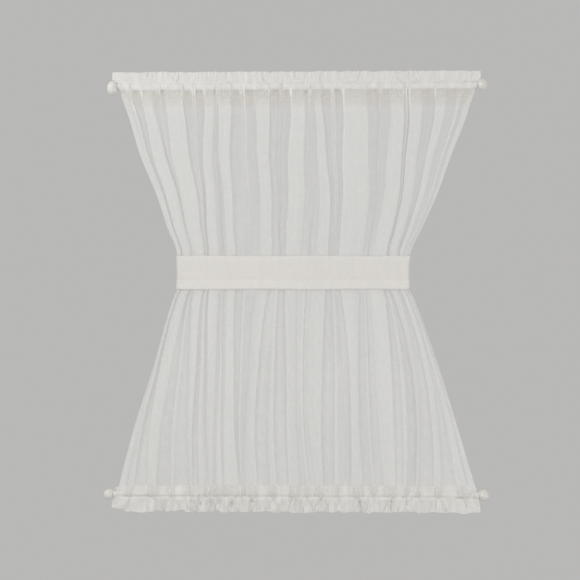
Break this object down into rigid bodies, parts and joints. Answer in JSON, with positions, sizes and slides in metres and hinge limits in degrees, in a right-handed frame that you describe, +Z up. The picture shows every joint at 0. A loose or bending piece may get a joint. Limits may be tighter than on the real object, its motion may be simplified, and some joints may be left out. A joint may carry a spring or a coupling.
{
  "type": "sheer door curtain with sash rods and a tie band",
  "caption": "Gathered sheer panel on white sash rods with round knobs at top and bottom, drawn in at the waist by a flat band, with a standing header and a ruffled foot.",
  "frame": {"origin": "midway along the upper rod at its axis height, in the plane of the four brackets' backs", "axes": "+X to the right as seen from the front, +Y back through the brackets, +Z up; the front faces -Y"},
  "size_m": [0.8625, 0.0415, 0.9934],
  "materials": {
    "ivory_voile": "sheer plain-weave voile, soft and slightly translucent",
    "ivory_band": "the same voile doubled and pressed, matt",
    "painted_steel": "white enamel, satin",
    "gloss_knob": "ivory-white plastic, soft gloss"
  },
  "bodies": {
    "root": {"panel": "ivory_voile", "tie_band": "ivory_band", "rod_upper": "painted_steel", "rod_lower": "painted_steel", "finial_upper_left": "gloss_knob", "finial_upper_right": "gloss_knob", "finial_lower_left": "gloss_knob", "finial_lower_right": "gloss_knob", "bracket_upper_left": "painted_steel", "bracket_upper_right": "painted_steel", "bracket_lower_left": "painted_steel", "bracket_lower_right": "painted_steel"}
  },
  "joints": []
}
